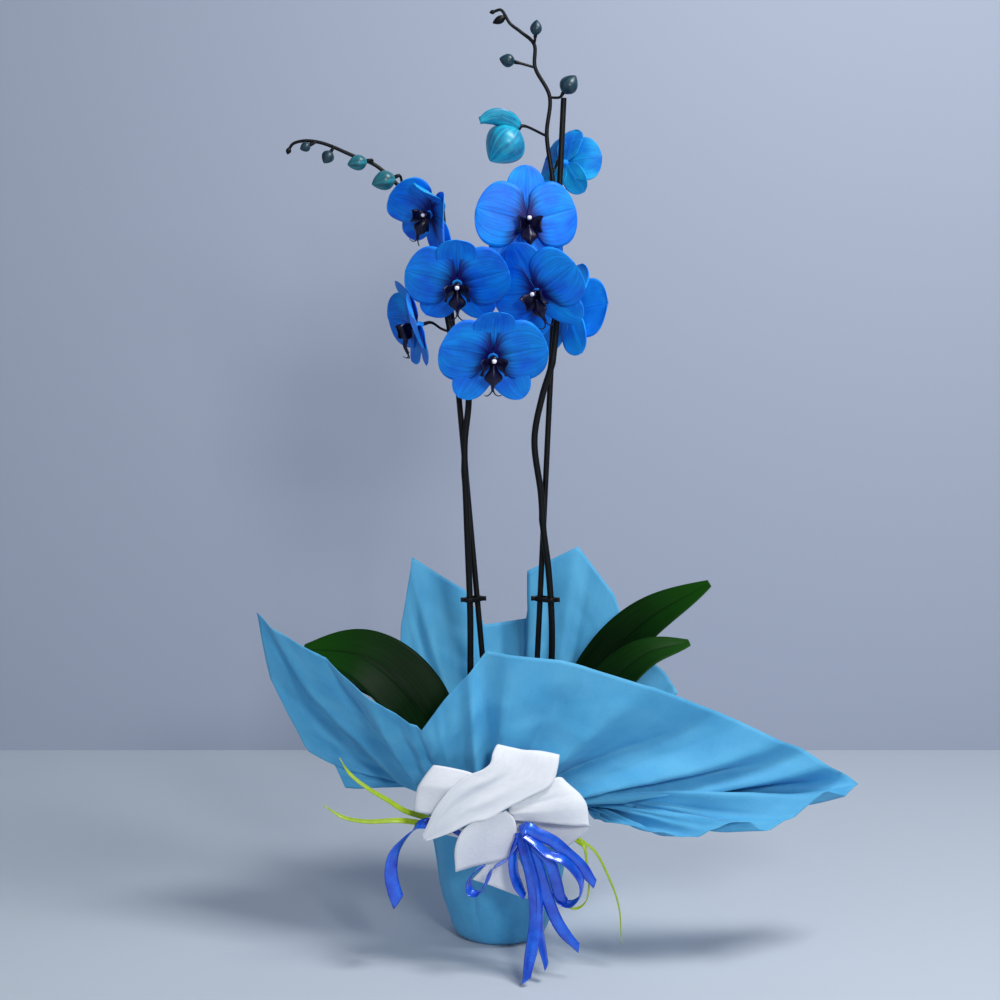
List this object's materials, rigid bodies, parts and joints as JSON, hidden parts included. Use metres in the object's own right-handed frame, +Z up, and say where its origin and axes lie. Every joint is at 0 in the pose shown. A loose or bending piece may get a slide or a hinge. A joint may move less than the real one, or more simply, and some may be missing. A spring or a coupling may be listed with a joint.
{
  "type": "moth orchid in vase",
  "caption": "Blue dyed moth orchid with two staked flower spikes in a grower's pot, wrapped in pale blue sheet with a white bow, blue ribbons and grass blades.",
  "frame": {"origin": "centre of the wrap's flat foot, on the surface the pot stands on", "axes": "+Z up along the plant, -Y towards the front where the bow is, +X to the viewer's right"},
  "size_m": [0.5182, 0.23, 0.8013],
  "materials": {
    "petal": "soft satin petal tissue, vivid blue",
    "petal_back": "soft satin petal tissue, lighter azure",
    "lip": "waxy, nearly black indigo",
    "cap": "waxy white",
    "bud_teal": "waxy teal",
    "bud_dark": "waxy dark teal",
    "stem": "satin, nearly black",
    "leaf": "waxy dark green",
    "crown": "matte grey green root tissue",
    "grass": "satin yellow green",
    "bark": "rough chips",
    "pot": "matte",
    "stake": "matte black",
    "clip": "semi gloss black",
    "wrap": "matte non-woven sheet, pale blue",
    "bow": "matte non-woven ribbon, white",
    "ribbon": "glossy royal blue"
  },
  "bodies": {
    "root": {"bark_mix": "bark", "bloom_left_1_cap": "cap", "bloom_left_1_lip": "lip", "bloom_left_1_petals": "petal", "bloom_left_2_cap": "cap", "bloom_left_2_lip": "lip", "bloom_left_2_petals": "petal", "bloom_left_3_cap": "cap", "bloom_left_3_lip": "lip", "bloom_left_3_petals": "petal", "bloom_left_4_cap": "cap", "bloom_left_4_lip": "lip", "bloom_left_4_petals": "petal", "bloom_right_1_cap": "cap", "bloom_right_1_lip": "lip", "bloom_right_1_petals": "petal", "bloom_right_2_cap": "cap", "bloom_right_2_lip": "lip", "bloom_right_2_petals": "petal", "bloom_right_3_cap": "cap", "bloom_right_3_lip": "lip", "bloom_right_3_petals": "petal_back", "bloom_right_4_cap": "cap", "bloom_right_4_lip": "lip", "bloom_right_4_petals": "petal_back", "blue_ribbon_left": "ribbon", "blue_ribbons": "ribbon", "bow": "bow", "bud_left_1": "bud_teal", "bud_left_2": "bud_teal", "bud_left_3": "bud_dark", "bud_left_4": "bud_dark", "bud_right_1": "bud_dark", "bud_right_2": "bud_dark", "bud_right_3": "bud_dark", "bud_right_opening": "bud_teal", "crown": "crown", "flower_spike_left": "stem", "flower_spike_right": "stem", "grass_left": "grass", "grass_right": "grass", "grower_pot": "pot", "leaf_back_young": "leaf", "leaf_left_lower": "leaf", "leaf_left_upper": "leaf", "leaf_right_lower": "leaf", "leaf_right_upper": "leaf", "stake_left": "stake", "stake_right": "stake", "stem_clip_left": "clip", "stem_clip_right": "clip", "tie_band": "bow", "wrap": "wrap"}
  },
  "joints": []
}
